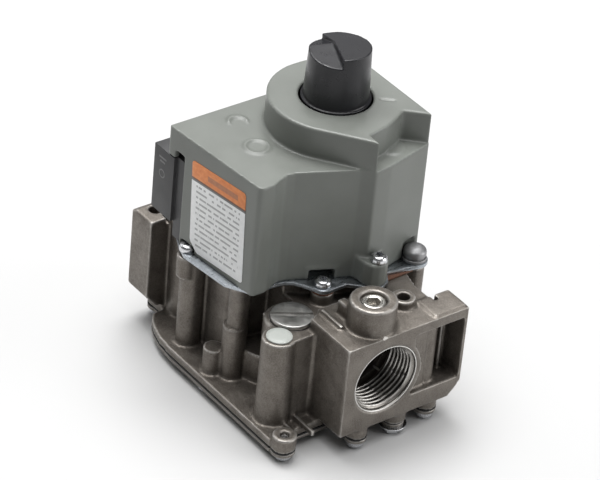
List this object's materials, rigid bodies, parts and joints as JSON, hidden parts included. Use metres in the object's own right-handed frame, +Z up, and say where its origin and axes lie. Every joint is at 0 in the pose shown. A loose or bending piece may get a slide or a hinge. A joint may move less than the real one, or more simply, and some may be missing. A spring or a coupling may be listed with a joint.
{
  "type": "gas control valve",
  "caption": "Dual-seat gas control valve: cast body with threaded in-line ports, bottom diaphragm cover, and a moulded electric operator with a turn knob.",
  "frame": {"origin": "centre of the outlet port's mouth, on the pipe axis", "axes": "+X out of the outlet port along the pipe axis, +Z up through the operator and knob, +Y across the body away from the label side"},
  "size_m": [0.1102, 0.0788, 0.1275],
  "materials": {
    "cast_body": "cast, satin",
    "rubber": "matte",
    "zinc_steel": "bright zinc",
    "plated_plate": "bright zinc",
    "turned_steel": "turned",
    "valve_rubber": "matte",
    "spring_wire": "drawn",
    "gasket": "matte",
    "cover_plastic": "fine grain",
    "knob_plastic": "satin",
    "black_plastic": "satin",
    "white_plastic": "satin",
    "vent_plastic": "satin",
    "copper_wire": "enamelled",
    "terminal_metal": "tinned",
    "label": "printed film"
  },
  "bodies": {
    "housing": {"valve_body": "cast_body", "bottom_cover": "cast_body", "main_diaphragm": "rubber", "bottom_screws": "zinc_steel", "ground_screw": "zinc_steel", "main_spring": "spring_wire", "inlet_screen": "spring_wire", "operator_plate": "plated_plate", "plate_gasket": "gasket", "plate_screws": "zinc_steel", "operator_cover": "cover_plastic", "cover_screw": "zinc_steel", "plate_standoff": "turned_steel", "knob_bushing": "turned_steel", "switch_case": "knob_plastic", "terminal_block": "black_plastic", "spade_terminals": "terminal_metal", "main_frame": "zinc_steel", "main_bobbin": "white_plastic", "main_coil": "copper_wire", "main_tube": "turned_steel", "main_plunger_spring": "spring_wire", "servo_frame": "zinc_steel", "servo_bobbin": "white_plastic", "servo_coil": "copper_wire", "servo_tube": "turned_steel", "servo_spring": "spring_wire", "regulator_cap": "turned_steel", "cap_seal": "rubber", "regulator_spring": "spring_wire", "regulator_diaphragm": "rubber", "vent_plug": "vent_plastic", "outlet_tap_plug": "turned_steel", "inlet_tap_plug": "turned_steel", "caution_label": "label"},
    "knob": {"control_knob": "knob_plastic", "knob_shaft": "turned_steel", "switch_cam": "white_plastic", "knob_spring": "spring_wire"},
    "switch_plunger": {"switch_button": "white_plastic"},
    "inlet_valve": {"main_plunger": "turned_steel", "inlet_disc": "valve_rubber"},
    "main_valve": {"diaphragm_plate": "zinc_steel", "main_stem": "turned_steel", "main_disc": "valve_rubber"},
    "servo_valve": {"servo_plunger": "turned_steel", "servo_disc": "valve_rubber"},
    "adjuster": {"regulator_adjuster": "white_plastic"},
    "follower": {"spring_follower": "white_plastic"},
    "regulator_valve": {"regulator_poppet": "turned_steel"}
  },
  "joints": [
    {"name": "knob_turn", "type": "hinge", "parent": "housing", "child": "knob", "pos_m": [-0.0625, 0.016, 0.0785], "axis": [0, 0, -1], "range_deg": [0, 90]},
    {"name": "switch_press", "type": "slide", "parent": "housing", "child": "switch_plunger", "axis": [0, 1, 0], "range_m": [0, 0.0012]},
    {"name": "inlet_lift", "type": "slide", "parent": "housing", "child": "inlet_valve", "axis": [0, 0, 1], "range_m": [0, 0.003], "stiffness_N_per_m": 250, "springref_m": -0.003, "deforming": ["main_plunger_spring"]},
    {"name": "main_lift", "type": "slide", "parent": "housing", "child": "main_valve", "axis": [0, 0, 1], "range_m": [0, 0.004], "stiffness_N_per_m": 200, "springref_m": -0.003, "deforming": ["main_spring", "main_diaphragm"]},
    {"name": "servo_lift", "type": "slide", "parent": "housing", "child": "servo_valve", "axis": [0, 0, 1], "range_m": [0, 0.0012], "stiffness_N_per_m": 250, "springref_m": -0.002, "deforming": ["servo_spring"]},
    {"name": "adjuster_turn", "type": "hinge", "parent": "housing", "child": "adjuster", "pos_m": [-0.0312, -0.0198, 0.006], "axis": [0, 0, -1], "range_deg": [0, 720]},
    {"name": "follower_travel", "type": "slide", "parent": "housing", "child": "follower", "axis": [0, 0, -1], "range_m": [0, 0.0016], "deforming": ["regulator_spring"]},
    {"name": "regulator_lift", "type": "slide", "parent": "housing", "child": "regulator_valve", "axis": [0, 0, 1], "range_m": [0, 0.0006], "stiffness_N_per_m": 300, "springref_m": -0.001, "deforming": ["regulator_diaphragm"]}
  ],
  "couplings": [
    {"joint": "switch_press", "follows": "knob_turn", "m_per_rad": 0.00076394},
    {"joint": "adjuster_turn", "follows": "follower_travel", "rad_per_m": 7853.9}
  ]
}
